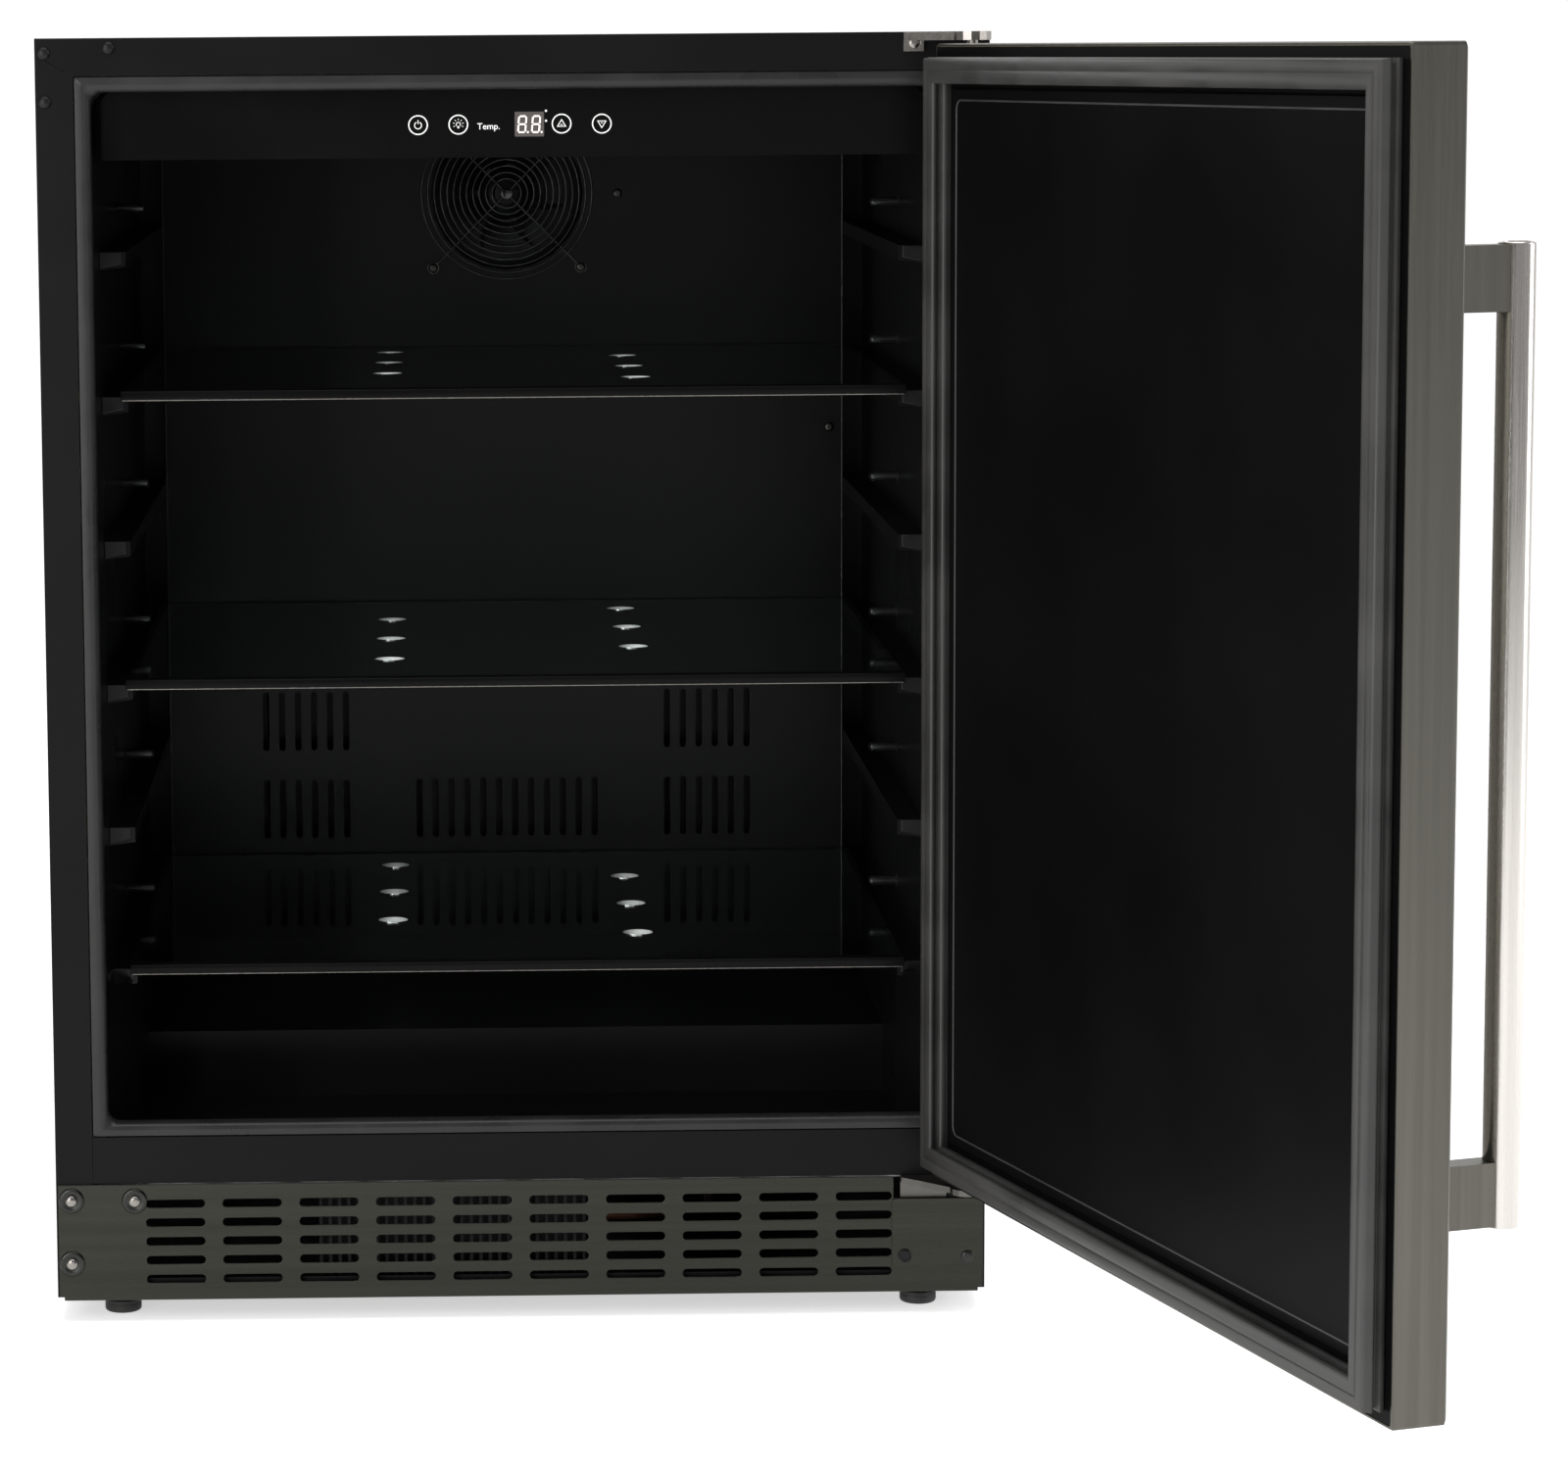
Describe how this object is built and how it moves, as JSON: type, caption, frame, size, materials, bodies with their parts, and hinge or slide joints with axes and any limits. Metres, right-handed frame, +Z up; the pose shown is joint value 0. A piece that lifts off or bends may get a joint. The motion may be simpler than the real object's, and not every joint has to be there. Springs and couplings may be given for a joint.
{
  "type": "undercounter mini fridge",
  "caption": "Black undercounter fridge cabinet with an open steel door, bar handle, glass shelves, touch strip, fan grille and slotted kick panel.",
  "frame": {"origin": "bottom centre of the whole object's box with the door open at rest, on the floor", "axes": "+Z up; the cabinet front and the kick grille face -Y; the door hinges at the +X side"},
  "size_m": [0.8162, 1.1419, 0.818],
  "materials": {
    "painted": "satin black paint on steel",
    "liner": "satin black moulded plastic",
    "bead": "dark grey moulding, soft sheen",
    "brushed": "brushed stainless",
    "kick": "dark brushed stainless",
    "bright": "fine brushed stainless",
    "zinc": "zinc coated sheet",
    "foam": "rigid insulating foam",
    "glass": "clear tempered glass",
    "trim": "black plastic",
    "gasket": "dark grey flexible seal",
    "rubber": "black rubber",
    "copper": "copper tube",
    "aluminium": "bare aluminium fins",
    "enamel": "black enamel",
    "board": "green circuit board",
    "lamp": "white diffuser",
    "grey": "grey plastic"
  },
  "bodies": {
    "cabinet": {"cabinet_side_left": "painted", "cabinet_side_right": "painted", "cabinet_top": "painted", "cabinet_back": "zinc", "front_lower_rail": "painted", "base_pan": "zinc", "machine_deck": "zinc", "insulation_foam": "foam", "inner_liner": "liner", "front_bead_frame": "bead", "control_housing": "liner", "control_fascia": "liner", "control_board": "board", "display_module": "grey", "interior_light": "lamp", "duct_panel": "liner", "fan_grille": "trim", "evaporator_fan_motor": "grey", "evaporator": "aluminium", "drain_trough": "grey", "drain_tube": "grey", "temperature_sensor": "grey", "compressor": "enamel", "compressor_relay": "trim", "condenser": "aluminium", "condenser_fan_motor": "grey", "condenser_shroud": "trim", "evaporation_tray": "grey", "suction_line": "copper", "discharge_line": "copper", "rear_machine_cover": "zinc", "mains_inlet": "trim", "kick_grille": "kick", "hinge_cover_plate": "kick", "kick_screw_1": "bright", "kick_screw_2": "bright", "kick_screw_3": "bright", "hinge_cover_screw": "bright", "hinge_cover_plug": "rubber", "top_hinge": "bright", "bottom_hinge": "bright"},
    "door": {"door_skin": "brushed", "door_foam": "foam", "door_liner": "liner", "door_gasket": "gasket", "handle_bar": "bright", "handle_post_upper": "brushed", "handle_post_lower": "brushed"},
    "shelf_1": {"shelf_1_glass": "glass", "shelf_1_trim": "trim"},
    "shelf_2": {"shelf_2_glass": "glass", "shelf_2_trim": "trim"},
    "shelf_3": {"shelf_3_glass": "glass", "shelf_3_trim": "trim"},
    "evaporator_fan": {"evaporator_fan_rotor": "trim"},
    "condenser_fan": {"condenser_fan_rotor": "trim"},
    "foot_front_left": {"foot_front_left": "rubber"},
    "foot_front_right": {"foot_front_right": "rubber"},
    "foot_back_left": {"foot_back_left": "rubber"},
    "foot_back_right": {"foot_back_right": "rubber"}
  },
  "joints": [
    {"name": "door_hinge", "type": "hinge", "parent": "cabinet", "child": "door", "pos_m": [0.17213, -0.0148, 0.45], "axis": [0, 0, 1], "range_deg": [-107.6, 7.4]},
    {"name": "shelf_1_slide", "type": "slide", "parent": "cabinet", "child": "shelf_1", "axis": [0, -1, 0], "range_m": [0, 0.25]},
    {"name": "shelf_2_slide", "type": "slide", "parent": "cabinet", "child": "shelf_2", "axis": [0, -1, 0], "range_m": [0, 0.25]},
    {"name": "shelf_3_slide", "type": "slide", "parent": "cabinet", "child": "shelf_3", "axis": [0, -1, 0], "range_m": [0, 0.25]},
    {"name": "evaporator_fan_spin", "type": "hinge", "parent": "cabinet", "child": "evaporator_fan", "pos_m": [-0.10757, 0.4962, 0.7047], "axis": [0, 1, 0], "continuous": true},
    {"name": "condenser_fan_spin", "type": "hinge", "parent": "cabinet", "child": "condenser_fan", "pos_m": [-0.14057, 0.2062, 0.074], "axis": [0, 1, 0], "continuous": true},
    {"name": "foot_front_left_screw", "type": "slide", "parent": "cabinet", "child": "foot_front_left", "axis": [0, 0, -1], "range_m": [0, 0.02]},
    {"name": "foot_front_right_screw", "type": "slide", "parent": "cabinet", "child": "foot_front_right", "axis": [0, 0, -1], "range_m": [0, 0.02]},
    {"name": "foot_back_left_screw", "type": "slide", "parent": "cabinet", "child": "foot_back_left", "axis": [0, 0, -1], "range_m": [0, 0.02]},
    {"name": "foot_back_right_screw", "type": "slide", "parent": "cabinet", "child": "foot_back_right", "axis": [0, 0, -1], "range_m": [0, 0.02]}
  ]
}
